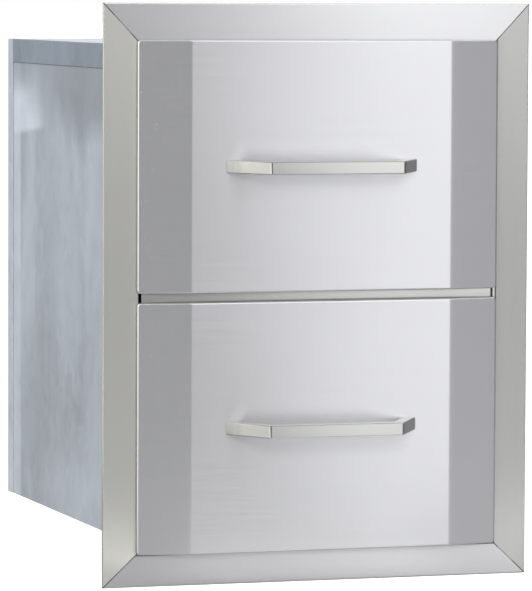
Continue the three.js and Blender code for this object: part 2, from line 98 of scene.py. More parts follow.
class Graph:
    """Short calls for building a node tree."""

    def __init__(self, tree):
        self.tree = tree

    def add(self, kind, **settings):
        node = self.tree.nodes.new(kind)
        for key, value in settings.items():
            setattr(node, key, value)
        return node

    def link(self, source, target):
        self.tree.links.new(source, target)

    def set(self, socket, value):
        if isinstance(value, bpy.types.NodeSocket):
            self.link(value, socket)
        else:
            socket.default_value = value

    def math(self, operation, *values):
        node = self.add("ShaderNodeMath", operation=operation)
        for socket, value in zip(node.inputs, values):
            self.set(socket, value)
        return node.outputs[0]

    def vector(self, operation, *values):
        node = self.add("ShaderNodeVectorMath", operation=operation)
        for socket, value in zip(node.inputs, values):
            self.set(socket, value)
        return node.outputs[0]

    def place(self, scale=(1, 1, 1), offset=(0, 0, 0)):
        """Object coordinates in metres, scaled and shifted."""
        coordinates = self.add("ShaderNodeTexCoord").outputs["Object"]
        mapping = self.add("ShaderNodeMapping")
        mapping.inputs["Scale"].default_value = scale
        mapping.inputs["Location"].default_value = offset
        self.link(coordinates, mapping.inputs["Vector"])
        return mapping.outputs[0]

    def noise(self, vector, scale, detail=2.0, roughness=0.5, distortion=0.0):
        node = self.add("ShaderNodeTexNoise")
        self.link(vector, node.inputs["Vector"])
        node.inputs["Scale"].default_value = scale
        node.inputs["Detail"].default_value = detail
        node.inputs["Roughness"].default_value = roughness
        node.inputs["Distortion"].default_value = distortion
        return node.outputs["Fac"]

    def span(self, value, low_in, high_in, low_out, high_out):
        """A value's range carried over to another one by a smooth step."""
        node = self.add("ShaderNodeMapRange", interpolation_type="SMOOTHSTEP")
        for socket, number in zip(node.inputs, (value, low_in, high_in, low_out, high_out)):
            self.set(socket, number)
        return node.outputs[0]

    def mix(self, factor, first, second):
        """A colour between two colours, each a socket or three numbers."""
        node = self.add("ShaderNodeMix", data_type="RGBA")
        self.set(node.inputs["Factor"], factor)
        for socket, colour in zip((node.inputs[6], node.inputs[7]), (first, second)):
            self.set(socket, colour if isinstance(colour, bpy.types.NodeSocket) else (*colour, 1))
        return node.outputs[2]

    def window(self, value, rise_from, rise_to, fall_from, fall_to):
        """1 between two soft edges and 0 outside them."""
        risen = self.span(value, rise_from, rise_to, 0, 1)
        return self.math("MULTIPLY", risen, self.span(value, fall_from, fall_to, 1, 0))

    def beyond(self, point, across):
        """How far a place lies beyond a plane through a point, in metres."""
        offset = self.vector("SUBTRACT", self.place(), tuple(point))
        node = self.add("ShaderNodeVectorMath", operation="DOT_PRODUCT")
        self.link(offset, node.inputs[0])
        node.inputs[1].default_value = tuple(Vector(across).normalized())
        return node.outputs["Value"]

    def seams(self, lines):
        """How dark a place is beside lines, each given as (point, across, half width, darkness)."""
        total = None
        for point, across, half_width, darkness in lines:
            away = self.math("ABSOLUTE", self.beyond(point, across))
            shade = self.span(away, half_width * 0.6, half_width * 1.4, darkness, 0)
            total = shade if total is None else self.math("MAXIMUM", total, shade)
        return total

    def spot(self, centre, radii, ragged):
        """A soft patch, 1 near its centre and 0 beyond its radii, its edge moved by a noise."""
        stretched = self.vector("DIVIDE", self.vector("SUBTRACT", self.place(), centre), radii)
        length = self.add("ShaderNodeVectorMath", operation="LENGTH")
        self.link(stretched, length.inputs[0])
        edge = self.math("MULTIPLY_ADD", ragged, 1.6, -0.8)
        return self.span(self.math("ADD", length.outputs["Value"], edge), 0.3, 1.1, 1, 0)

    def bump(self, height, distance, strength=1.0, normal=None):
        node = self.add("ShaderNodeBump")
        self.set(node.inputs["Height"], height)
        node.inputs["Distance"].default_value = distance
        node.inputs["Strength"].default_value = strength
        if normal is not None:
            self.link(normal, node.inputs["Normal"])
        return node.outputs[0]


def along(axis, fine, coarse):
    """Scales that draw a texture out along one axis: coarse along it and fine across it."""
    return tuple(coarse if index == axis else fine for index in range(3))


def shaded(colour, share):
    """A colour made darker or lighter, with no part over 1."""
    return tuple(min(part * share, 1) for part in colour)


def brushed(
    name, colour, roughness, grain, seed, metal=1, anisotropy=1.0, depth=FINE_GRAIN, lines=()
):
    """Steel with a grain along one axis (0 for X, 1 for Y, 2 for Z), dark beside the lines."""
    material, shader = new_material(name)
    graph = Graph(material.node_tree)
    offset = (seed, seed * 2, seed * 3)
    fine = graph.noise(graph.place(along(grain, 1, 0.012), offset), 1400, 3, 0.6)
    bands = graph.noise(graph.place(along(grain, 1, 0.05), offset), 130, 3, 0.55)
    cloud = graph.noise(graph.place((1, 1, 1), offset), 7, 2, 0.5)
    shares = (graph.math("MULTIPLY", fine, 0.75), graph.math("MULTIPLY", bands, 0.25))
    tone = graph.math("ADD", *shares)
    dark = shaded(colour, 0.98)
    streaked = graph.mix(graph.span(tone, 0.36, 0.64, 0, 1), dark, shaded(colour, 1.02))
    base = graph.mix(graph.span(cloud, 0.4, 0.7, 0, 0.35), streaked, dark)
    # Dark lines: dark joints at the mitres, painted shade beside the fronts and along the hem
    if lines:
        base = graph.mix(graph.seams(lines), base, SEAM_AND_SHADE_COLOUR)
    graph.link(base, shader.inputs["Base Color"])
    rough = graph.span(fine, 0.3, 0.7, roughness - 0.01, roughness + 0.01)
    graph.link(rough, shader.inputs["Roughness"])
    graph.link(graph.bump(fine, depth), shader.inputs["Normal"])
    direction = graph.add("ShaderNodeCombineXYZ")
    for axis, size in enumerate(along(grain, 0.06, 1)):
        direction.inputs[axis].default_value = size + 0.01 * axis
    normal = graph.add("ShaderNodeNewGeometry").outputs["Normal"]
    tangent = graph.vector("CROSS_PRODUCT", normal, direction.outputs[0])
    graph.link(tangent, shader.inputs["Tangent"])
    shader.inputs["Metallic"].default_value = metal
    shader.inputs["Anisotropic"].default_value = anisotropy
    return material


def galvanised(name, colour, roughness, lines=(), patches=()):
    """Zinc coated sheet: faint spangle, clouds, streaks and stains, patches that include painted
    sheen and painted shadow, and painted shade along its laps.
    """
    material, shader = new_material(name)
    graph = Graph(material.node_tree)
    spangle = graph.add("ShaderNodeTexVoronoi")
    spangle.inputs["Scale"].default_value = 110
    spangle.inputs["Randomness"].default_value = 1
    graph.link(graph.place((1, 0.6, 0.6)), spangle.inputs["Vector"])
    flake = graph.add("ShaderNodeSeparateColor")
    graph.link(spangle.outputs["Color"], flake.inputs[0])
    cloud = graph.noise(graph.place((1, 0.8, 0.35)), 9, 4, 0.55, 0.4)
    streak = graph.noise(graph.place((1, 1, 0.03)), 60, 3, 0.6)
    stain = graph.noise(graph.place((1, 1, 0.5), (0.31, 0.2, 0.7)), 22, 5, 0.65, 0.8)
    dark = shaded(colour, 0.84)
    light = shaded(colour, 1.12)
    base = graph.mix(graph.span(cloud, 0.35, 0.68, 0, 1), dark, light)
    base = graph.mix(graph.span(streak, 0.35, 0.7, 0, 0.22), base, light)
    base = graph.mix(graph.span(stain, 0.55, 0.72, 0, 0.4), base, dark)
    base = graph.mix(graph.math("MULTIPLY", flake.outputs[0], 0.3), base, light)
    # Patches: painted sheen, painted shadow, and lighter and darker patches, some cut off at a
    # straight end
    for centre, radii, shade, strength, *end in patches:
        cover = graph.math("MULTIPLY", graph.spot(centre, radii, cloud), strength)
        if end:
            inside = graph.span(graph.beyond(*end), -PATCH_END_SOFTNESS, PATCH_END_SOFTNESS, 0, 1)
            cover = graph.math("MULTIPLY", cover, inside)
        base = graph.mix(cover, base, shaded(colour, shade))
    # Painted shade along the laps and the lid's bends
    if lines:
        base = graph.mix(graph.seams(lines), base, LAP_SHADE_COLOUR)
    graph.link(base, shader.inputs["Base Color"])
    rough = graph.math("MULTIPLY", flake.outputs[1], 0.09)
    clouded = graph.span(cloud, 0.3, 0.7, roughness - 0.05, roughness + 0.05)
    graph.link(graph.math("ADD", rough, clouded), shader.inputs["Roughness"])
    waves = graph.bump(cloud, 0.4 * MM, 0.5)
    graph.link(graph.bump(streak, 0.03 * MM, 0.6, waves), shader.inputs["Normal"])
    shader.inputs["Metallic"].default_value = 0.8
    return material


def plated(name, colour, roughness):
    """Bright plating with drawing lines along Y and small smears of grease."""
    material, shader = new_material(name)
    graph = Graph(material.node_tree)
    lines = graph.noise(graph.place((1, 0.02, 1)), 1500, 2, 0.6)
    smear = graph.noise(graph.place((1, 0.3, 1)), 25, 2, 0.5)
    dark = shaded(colour, 0.96)
    base = graph.mix(graph.span(smear, 0.42, 0.7, 0, 1), colour, dark)
    base = graph.mix(graph.span(lines, 0.35, 0.65, 0, 0.25), base, dark)
    graph.link(base, shader.inputs["Base Color"])
    rough = graph.span(smear, 0.35, 0.7, roughness, roughness + 0.03)
    graph.link(rough, shader.inputs["Roughness"])
    graph.link(graph.bump(lines, 0.0003 * MM), shader.inputs["Normal"])
    shader.inputs["Metallic"].default_value = 0.9
    return material


def polished(name, colour, roughness):
    """Ground bearing steel."""
    material, shader = new_material(name)
    graph = Graph(material.node_tree)
    haze = graph.noise(graph.place(), 400, 2, 0.5)
    base = graph.mix(graph.span(haze, 0.4, 0.6, 0, 0.5), colour, shaded(colour, 0.9))
    graph.link(base, shader.inputs["Base Color"])
    rough = graph.span(haze, 0.3, 0.7, roughness, roughness + 0.08)
    graph.link(rough, shader.inputs["Roughness"])
    shader.inputs["Metallic"].default_value = 1
    return material


def moulded_rubber(name, colour):
    """Matt black rubber."""
    material, shader = new_material(name)
    graph = Graph(material.node_tree)
    grain = graph.noise(graph.place(), 2600, 2, 0.5)
    dust = graph.noise(graph.place(), 90, 3, 0.6)
    pale = tuple(part + 0.03 for part in colour)
    base = graph.mix(graph.span(dust, 0.45, 0.75, 0, 0.6), colour, pale)
    graph.link(base, shader.inputs["Base Color"])
    graph.link(graph.span(dust, 0.3, 0.7, 0.66, 0.85), shader.inputs["Roughness"])
    graph.link(graph.bump(grain, 0.04 * MM, 0.8), shader.inputs["Normal"])
    return material


# How far the lid's skirt hangs down
SKIRT = 24 * MM
# Dark lines: their half widths, and how dark they are on steel, on zinc and beside the hem. The
# mitre lines are dark joints; the shadow, hem and lap lines are painted shade
MITRE_LINE = 0.45 * MM
LAP_LINE = 0.5 * MM
SHADOW_LINE = 0.55 * MM
HEM_LINE = 0.6 * MM
STEEL_DARKNESS = 0.85
ZINC_DARKNESS = 0.6
HEM_DARKNESS = 0.55


def mitre(hand, end):
    """The dark line of the face frame's mitre at one corner."""
    is_left, is_top = hand == "left", end == "top"
    outer = Vector((
        low("frame_left").x if is_left else high("frame_right").x,
        0,
        high("frame_top").z if is_top else low("frame_bottom").z,
    ))
    inner = Vector((
        high("frame_left").x if is_left else low("frame_right").x,
        0,
        low("frame_top").z if is_top else high("frame_bottom").z,
    ))
    along_mitre = inner - outer
    return outer, (along_mitre.z, 0, -along_mitre.x), MITRE_LINE, STEEL_DARKNESS


def member_finish(side, colour, roughness, seed):
    """Steel of one face frame member: dark joints at its mitres, painted shade beside the drawer
    fronts, and on the left member painted shade along its hem.
    """
    lines = [
        mitre(hand, end) for hand in HANDS for end in ("top", "bottom") if side in (hand, end)
    ]
    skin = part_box("lower_front_skin")
    # Painted shade beside the drawer fronts, on the right and bottom members
    if side == "right":
        lines.append(((skin[1].x + SHADOW_LINE, 0, 0), (1, 0, 0), SHADOW_LINE, STEEL_DARKNESS))
    if side == "bottom":
        lines.append(((0, 0, skin[0].z - SHADOW_LINE), (0, 0, 1), SHADOW_LINE, STEEL_DARKNESS))
    # Painted shade along the left member's hem
    if side == "left":
        lines.append(((low("frame_left").x, 0, 0), (1, 0, 0), HEM_LINE, HEM_DARKNESS))
    grain, metal = (2, 1) if side in HANDS else (0, SATIN)
    return brushed(f"frame_steel_{side}", colour, roughness, grain, seed, metal, lines=lines)


def skirt_shadow_line():
    """The painted shadow line on the enclosure's sides under the lid's skirt."""
    height = high("enclosure_back").z - SKIRT - LAP_LINE
    return [((0, 0, height), (0, 0, 1), LAP_LINE, ZINC_DARKNESS)]


def lid_bend_shade_lines():
    """Painted shade lines along the lid's two side bends."""
    top = high("enclosure_back").z
    corners = ((low("enclosure_top").x, 1), (high("enclosure_top").x, -1))
    return [((x, 0, top), (1, 0, lean), LAP_LINE, ZINC_DARKNESS) for x, lean in corners]


# Patches on the left side: centre, radii, shade and strength, and for some a straight end. The
# second is a painted sheen, a reflection that ends at a sloping line; the third to fifth are
# painted shadow under the lid's skirt; the others are lighter and darker patches
LEFT_PATCHES_SHEEN_AND_SHADE = (
    ((0, 0.455, 0.220), (1, 0.200, 0.900), 1.36, 0.85, (0, 0.405, 0), (0, 1, 0)),
    ((0, 0.385, 0.418), (1, 0.085, 0.056), 1.56, 0.85, (0, 0.392, 0.418), (0, 0.083, 1)),
    ((0, 0.130, 0.455), (1, 0.200, 0.060), 0.68, 0.85, (0, 0.285, 0), (0, -1, 0.2)),
    ((0, 0.225, 0.470), (1, 0.095, 0.040), 0.62, 0.70),
    ((0, 0.220, 0.490), (1, 0.260, 0.035), 0.72, 0.80),
    ((0, 0.345, 0.160), (1, 0.080, 0.120), 0.86, 0.60),
    ((0, 0.060, 0.300), (1, 0.070, 0.120), 1.12, 0.60),
    ((0, 0.215, 0.270), (1, 0.060, 0.120), 1.16, 0.70),
    ((0, 0.180, 0.060), (1, 0.150, 0.050), 1.25, 0.70),
)


TRAY_STEEL = (0.58, 0.585, 0.59)

finishes = {
    "front": brushed("front_steel", (0.54, 0.54, 0.55), 0.23, 0, 1.3, SATIN),
    "top": member_finish("top", (0.54, 0.54, 0.545), 0.23, 4.1),
    "bottom": member_finish("bottom", (0.54, 0.54, 0.545), 0.23, 6.3),
    # The side members' lighter colours are painted light: lighter copies of the same steel, for how
    # light falls on them
    "left": member_finish("left", (0.778, 0.773, 0.722), 0.24, 7.7),
    "right": member_finish("right", (0.82, 0.82, 0.79), 0.24, 8.9),
    # The rail's darker colour is painted shade, for the shade between the two drawer fronts
    "rail": brushed("rail_steel", (0.42, 0.42, 0.405), 0.18, 0, 2.9, SATIN),
    "handle": brushed("handle_steel", (0.45, 0.45, 0.435), 0.13, 0, 5.2, anisotropy=0.6),
    "tray": brushed("tray_steel", TRAY_STEEL, 0.38, 1, 9.4, DULL, 0.5, COARSE_GRAIN),
    "tray_wall": brushed("tray_wall_steel", TRAY_STEEL, 0.38, 0, 3.4, DULL, 0.5, COARSE_GRAIN),
    "zinc": galvanised("enclosure_zinc", (0.43, 0.455, 0.495), 0.42),
    # The lid's darker colour is painted shade, for its skirt that tilts away from the light
    "lid_zinc": galvanised("lid_zinc", (0.241, 0.276, 0.321), 0.4, lid_bend_shade_lines()),
    "rear_zinc": galvanised("rear_zinc", (0.52, 0.552, 0.60), 0.42),
    "left_zinc": galvanised(
        "left_zinc", (0.410, 0.437, 0.479), 0.42, skirt_shadow_line(), LEFT_PATCHES_SHEEN_AND_SHADE
    ),
    "right_zinc": galvanised("right_zinc", (0.388, 0.418, 0.464), 0.42, skirt_shadow_line()),
    "plate": plated("slide_plate", (0.62, 0.63, 0.65), 0.26),
    "ball": polished("ball_steel", (0.78, 0.78, 0.79), 0.08),
    "rubber": moulded_rubber("stop_rubber", (0.02, 0.02, 0.021)),
}


# Shading of the frame's nodes: angles in degrees, and how wide rounded edges are
SMOOTH_ANGLE = 38
SHARP_ANGLE = 40
LEVER_ANGLE = 50
BEVEL_SEGMENTS = 3
JOIN_DISTANCE = 0.001 * MM
MEMBER_EDGE = 0.3 * MM
BAR_EDGE = 0.45 * MM
SHEET_EDGE = 0.15 * MM
SLIDE_EDGE = 0.12 * MM
RUBBER_EDGE = 0.4 * MM
BACK_EDGE = 0.44 * MM
LEVER_EDGE = 0.5 * MM


def smooth_group():
    """A modifier tree that shades smooth across edges below SMOOTH_ANGLE."""
    tree = bpy.data.node_groups.new("smooth_by_angle", "GeometryNodeTree")
    for way in ("INPUT", "OUTPUT"):
        tree.interface.new_socket("Geometry", in_out=way, socket_type="NodeSocketGeometry")
    start = tree.nodes.new("NodeGroupInput")
    end = tree.nodes.new("NodeGroupOutput")
    angle = tree.nodes.new("GeometryNodeInputMeshEdgeAngle")
    flat = tree.nodes.new("FunctionNodeCompare")
    flat.operation = "LESS_THAN"
    flat.inputs["B"].default_value = math.radians(SMOOTH_ANGLE)
    faces = tree.nodes.new("GeometryNodeSetShadeSmooth")
    faces.domain = "FACE"
    edges = tree.nodes.new("GeometryNodeSetShadeSmooth")
    edges.domain = "EDGE"
    tree.links.new(angle.outputs["Unsigned Angle"], flat.inputs["A"])
    tree.links.new(start.outputs[0], faces.inputs["Geometry"])
    tree.links.new(faces.outputs[0], edges.inputs["Geometry"])
    tree.links.new(flat.outputs[0], edges.inputs["Shade Smooth"])
    tree.links.new(edges.outputs[0], end.inputs[0])
    return tree


SMOOTH = smooth_group()


def shade_smooth(piece):
    piece.modifiers.new("smooth", "NODES").node_group = SMOOTH


def round_edges(piece, width, angle):
    """Rounds a piece's edges that are sharper than an angle in degrees."""
    bevel = piece.modifiers.new("edge", "BEVEL")
    bevel.width = width
    bevel.segments = BEVEL_SEGMENTS
    bevel.limit_method = "ANGLE"
    bevel.angle_limit = math.radians(angle)


def soften(piece, width):
    """Joins a piece's separate triangles, rounds its sharp edges and shades its bends smooth."""
    piece.modifiers.new("join", "WELD").merge_threshold = JOIN_DISTANCE
    round_edges(piece, width, SHARP_ANGLE)
    shade_smooth(piece)
    piece.modifiers.new("weighted", "WEIGHTED_NORMAL").keep_sharp = True


def dress(nodes, finish, width):
    """Gives frame nodes a finish and softened edges."""
    for name in nodes:
        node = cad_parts[name]
        node.data.materials.clear()
        node.data.materials.append(finishes[finish])
        soften(node, width)


def dress_frame_nodes():
    both = [(level, hand) for level in LEVELS for hand in HANDS]
    for side in ("top", "bottom", "left", "right"):
        dress([f"frame_{side}"], side, MEMBER_EDGE)
    dress(["mid_rail"], "rail", BAR_EDGE)
    for hand in HANDS:
        dress([f"enclosure_{hand}"], f"{hand}_zinc", SHEET_EDGE)
    dress(["enclosure_top"], "lid_zinc", SHEET_EDGE)
    dress(["enclosure_bottom"], "zinc", SHEET_EDGE)
    dress([f"post_{end}_{hand}" for end in ("front", "rear") for hand in HANDS], "zinc", SHEET_EDGE)
    for level in LEVELS:
        walls = [f"{level}_tray_front", f"{level}_tray_back", f"{level}_front_liner"]
        dress([f"{level}_tray_pan"], "tray", SHEET_EDGE)
        dress(walls, "tray_wall", SHEET_EDGE)
    dress([f"{level}_handle" for level in LEVELS], "handle", BAR_EDGE)
    for part in ("cabinet_member", "runner", "drawer_member"):
        dress([f"{level}_{hand}_{part}" for level, hand in both], "plate", SLIDE_EDGE)
    dress([f"{level}_{hand}_end_stop" for level, hand in both], "rubber", RUBBER_EDGE)


dress_frame_nodes()


# Fine pieces

def add_piece(name, mesh, body, finish, smooth=True):
    """Links a new piece that rides on a body."""
    mesh.materials.clear()
    mesh.materials.append(finishes[finish])
    piece = bpy.data.objects.new(name, mesh)
    bpy.context.scene.collection.objects.link(piece)
    if smooth:
        shade_smooth(piece)
    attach(piece, body)
    return piece


def mesh_from(work, name):
    """A mesh from a bmesh, with its faces turned outwards."""
    bmesh.ops.recalc_face_normals(work, faces=work.faces)
    mesh = bpy.data.meshes.new(name)
    work.to_mesh(mesh)
    work.free()
    return mesh


def bridge(work, first, second):
    """Joins two closed rings of vertices by faces; a vertex that repeats counts once."""
    for index in range(len(first)):
        following = (index + 1) % len(first)
        corners = (first[index], first[following], second[following], second[index])
        work.faces.new(list(dict.fromkeys(corners)))


def cut(work, point, across):
    """Cuts a whole bmesh by a plane and keeps both sides."""
    parts = work.verts[:] + work.edges[:] + work.faces[:]
    bmesh.ops.bisect_plane(work, geom=parts, plane_co=point, plane_no=across)


def rounded_outline(left, right, bottom, top, radius, steps):
    """Points of a rectangle with round corners, counter-clockwise in X and Z."""
    points = []
    corners = ((right, bottom, -90), (right, top, 0), (left, top, 90), (left, bottom, 180))
    for corner_x, corner_z, start in corners:
        centre_x = corner_x - math.copysign(radius, corner_x - (left + right) / 2)
        centre_z = corner_z - math.copysign(radius, corner_z - (bottom + top) / 2)
        for step in range(steps + 1):
            angle = math.radians(start + 90 * step / steps)
            x, z = radius * math.cos(angle), radius * math.sin(angle)
            points.append((centre_x + x, centre_z + z))
    return points


# Drawer fronts: a level centre, side strips set back by two soft bends, and a rolled rim
BEVEL_STRIP = 49.5 * MM
STRIP_SET_BACK = 7.5 * MM
STRIP_SLOPE = STRIP_SET_BACK / BEVEL_STRIP
BEND_RADIUS = 30 * MM
BEND_REACH = BEND_RADIUS * math.tan(math.atan(STRIP_SLOPE) / 2)
SKIN_CORNER = 3.5 * MM
SKIN_RIM = 1.5 * MM
RIM_LAND = 0.5 * MM
SKIN_SHEET = 1.0 * MM
SHEET_WAVE = 0.18 * MM
WAVE_PHASES = {"lower": 0.6, "upper": 2.1}
# Steps round the rim, the corners and the bends, and cells of the sheet between them
RIM_STEPS = 6
CORNER_STEPS = 7
BEND_STEPS = 6
CENTRE_CELLS = 4
STRIP_CELLS = 3
ROWS = 6
CUT_MARGIN = 1 * MM
# Where the rim's back edge waits, in metres, until it is set to the skin's own
RIM_BACK = 1.0


def strip_depth(x, half_width):
    """How far the front lies behind its centre at x."""
    past = abs(x) - (half_width - BEVEL_STRIP)
    if past < -BEND_REACH:
        return 0
    if past < BEND_REACH:
        return STRIP_SLOPE * (past + BEND_REACH) ** 2 / (4 * BEND_REACH)
    return STRIP_SLOPE * past


def flat_pan(start, end):
    """A front before its bends: its face at y = 0 and a rim that rolls back round it."""
    rings = [(0, RIM_BACK)]
    for step in range(RIM_STEPS + 1):
        angle = math.radians(90 * step / RIM_STEPS)
        rings.append((SKIN_RIM * (1 - math.cos(angle)), SKIN_RIM * (1 - math.sin(angle))))
    rings.append((SKIN_RIM + RIM_LAND, 0))
    work = bmesh.new()
    loops = []
    for inset, depth in rings:
        outline = rounded_outline(
            start.x + inset, end.x - inset, start.z + inset, end.z - inset,
            SKIN_CORNER - inset, CORNER_STEPS
        )
        loops.append([work.verts.new((x, depth, z)) for x, z in outline])
    for outer, inner in zip(loops, loops[1:]):
        bridge(work, outer, inner)
    work.faces.new(loops[-1])
    return work


def cut_places(half_width):
    """Where a front is cut across X, on both sides of its middle, so that it can bend."""
    bend = half_width - BEVEL_STRIP
    places = [bend - BEND_REACH - CUT_MARGIN, bend + BEND_REACH + CUT_MARGIN]
    places += [
        bend - BEND_REACH + 2 * BEND_REACH * step / BEND_STEPS for step in range(BEND_STEPS + 1)
    ]
    places += [bend * step / CENTRE_CELLS for step in range(CENTRE_CELLS)]
    places += [bend + BEVEL_STRIP * step / STRIP_CELLS for step in range(1, STRIP_CELLS)]
    return sorted({value for place in places for value in (place, -place)})


def front_skin(level):
    start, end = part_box(f"{level}_front_skin")
    half_width = (end.x - start.x) / 2
    work = flat_pan(start, end)
    for x in cut_places(half_width):
        cut(work, (x, 0, 0), (1, 0, 0))
    for row in range(1, ROWS):
        cut(work, (0, 0, start.z + (end.z - start.z) * row / ROWS), (0, 0, 1))
    for point in work.verts:
        if point.co.y > RIM_BACK / 2:
            point.co.y = end.y
            continue
        across = (point.co.x - start.x) / (end.x - start.x)
        up = (point.co.z - start.z) / (end.z - start.z)
        swell = math.sin(math.pi * across) * math.sin(math.pi * up)
        wave = swell * math.cos(4 * across + 2 * up + WAVE_PHASES[level])
        point.co.y += start.y + strip_depth(point.co.x, half_width) + SHEET_WAVE * (1 + wave)
    mesh = mesh_from(work, "front")
    skin = add_piece(f"{level}_fine_front", mesh, f"{level}_drawer", "front")
    for polygon in skin.data.polygons:
        if polygon.normal.y > 0.5:
            skin.data.flip_normals()
            break
    thickness = skin.modifiers.new("sheet", "SOLIDIFY")
    thickness.thickness = SKIN_SHEET
    thickness.offset = -1
    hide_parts(f"{level}_front_skin")


# Small prototypes, each along +Z from its seat at the origin
ROUND_SIDES = 20
HEAD_SIDES = 28
DIMPLE_SIDES = 24
FIXING_SEAT = 0.2 * MM
RECESS_TAPER = 0.55
RECESS_OVERSHOOT = 1 * MM
# A spot weld's ring: shares of its radius and heights in millimetres, from its middle outwards
WELD_PROFILE = (
    (0, 0.02), (0.45, 0.03), (0.68, 0.1), (0.8, 0.1), (1, -0.02), (0.8, -0.1), (0, -0.1),
)


def lathe(profile, sides=ROUND_SIDES):
    """A closed turned shape from (radius, height) points, first and last on the axis."""
    work = bmesh.new()
    angles = [2 * math.pi * side / sides for side in range(sides)]
    rings = []
    for radius, height in profile:
        if radius == 0:
            rings.append([work.verts.new((0, 0, height))] * sides)
            continue
        circle = [(radius * math.cos(angle), radius * math.sin(angle)) for angle in angles]
        rings.append([work.verts.new((x, y, height)) for x, y in circle])
    for first, second in zip(rings, rings[1:]):
        bridge(work, first, second)
    return mesh_from(work, "turned")


def dome(radius, height, shoulder, steps):
    """Points of a quarter round from a shoulder, given as a share of the height, up to the axis."""
    points = []
    for step in range(1, steps):
        angle = math.radians(90 * step / steps)
        rise = shoulder + (1 - shoulder) * math.sin(angle)
        points.append((radius * math.cos(angle), height * rise))
    return points + [(0, height)]


def carved(mesh, cutter_mesh):
    """A copy of a mesh with another one cut out of it."""
    body = bpy.data.objects.new("body", mesh)
    cutter = bpy.data.objects.new("cutter", cutter_mesh)
    for thing in (body, cutter):
        bpy.context.scene.collection.objects.link(thing)
    carve = body.modifiers.new("carve", "BOOLEAN")
    carve.operation = "DIFFERENCE"
    carve.solver = "EXACT"
    carve.object = cutter
    carve.use_self = True
    depsgraph = bpy.context.evaluated_depsgraph_get()
    result = bpy.data.meshes.new_from_object(body.evaluated_get(depsgraph))
    for thing in (body, cutter):
        bpy.data.objects.remove(thing)
    return result


def cross_recess(mesh, reach, width, depth, top):
    """Cuts a tapered cross into the top of a screw head."""
    work = bmesh.new()
    for turned in (False, True):
        for point in bmesh.ops.create_cube(work, size=1)["verts"]:
            is_upper = point.co.z > 0
            taper = 1 if is_upper else RECESS_TAPER
            x, y = point.co.x * 2 * reach * taper, point.co.y * width
            z = top + RECESS_OVERSHOOT if is_upper else top - depth
            point.co = (y, x, z) if turned else (x, y, z)
    return carved(mesh, mesh_from(work, "cross"))


def pan_screw(radius, height):
    """A pan head with a cross recess."""
    profile = [(0, -FIXING_SEAT), (radius, -FIXING_SEAT), (radius, height * 0.35)]
    head = lathe(profile + dome(radius * 0.98, height, 0.35, 6), HEAD_SIDES)
    return cross_recess(head, radius * 0.6, radius * 0.22, height * 0.6, height)


def weld_mark(radius):
    """The shallow ring that a spot weld leaves on sheet."""
    return lathe([(radius * share, height * MM) for share, height in WELD_PROFILE])


def bearing_ball(radius):
    work = bmesh.new()
    bmesh.ops.create_icosphere(work, subdivisions=2, radius=radius)
    return mesh_from(work, "ball")


def copies(name, prototype, places):
    """One mesh made of copies of a small mesh, each at a point and facing a direction."""
    work = bmesh.new()
    for point, towards in places:
        copy = prototype.copy()
        turn = Vector((0, 0, 1)).rotation_difference(Vector(towards)).to_matrix().to_4x4()
        copy.transform(Matrix.Translation(point) @ turn)
        work.from_mesh(copy)
        bpy.data.meshes.remove(copy)
    return mesh_from(work, name)


def scatter(name, prototype, places, body, finish):
    """One piece made of copies of a small mesh."""
    return add_piece(name, copies(name, prototype, places), body, finish)


def spread(start, end, count):
    """Evenly spaced values from start to end."""
    return [start + (end - start) * index / (count - 1) for index in range(count)]


# Fixings: sheets of the trays and slides, and where screws and rivets sit in them
TRAY_SHEET = 1.0 * MM
MEMBER_SHEET = 1.2 * MM
SLOT_END_INSET = 32 * MM
SLIDE_RIVET = (3.0 * MM, 1.4 * MM)
SLIDE_SCREW = (4.2 * MM, 1.9 * MM)
HANDLE_HEAD = 2.8 * MM
HANDLE_SHANK = 0.54
# Release levers: their outline in millimetres, along the slide and up
LEVER_START = 48 * MM
LEVER_THICKNESS = 1.8 * MM
LEVER_SEAT = 1.1 * MM
LEVER_OUTLINE = (
    (0, -4), (1, -5), (13, -5), (17, -2.8), (52, -2.2), (54, -1),
    (54, 1), (52, 2.2), (17, 2.8), (13, 5), (1, 5), (0, 4),
)
# Spot welds: radii, distances from edges, and rows as first place, last place and how many
WELD_RADIUS = 3.2 * MM
TRAY_WELD_RADIUS = 2.6 * MM
WELD_INSET = 10 * MM
REAR_WELD_INSET = 20 * MM
REAR_WELDS = 6
SKIRT_WELD_RISE = 4.5 * MM
SKIRT_WELD_ROW = (50 * MM, 410 * MM, 4)
FLOOR_WELD_RISE = 7 * MM
FLOOR_WELD_ROW = (46 * MM, 374 * MM, 5)
LAP_WELD_END = 30 * MM
LAP_WELDS = 6
TRAY_WELD_INSET = 8 * MM
TRAY_WELD_HEIGHTS = (14 * MM, 20 * MM, -22 * MM)
DIMPLE_DEPTH = 0.15 * MM
DIMPLE_ABOVE = 0.5 * MM
DIMPLE_FLOOR = 0.6


def outermost(box, side):
    """The X of a box's outer face on one side of the unit."""
    return max(abs(box[0].x), abs(box[1].x)) * side


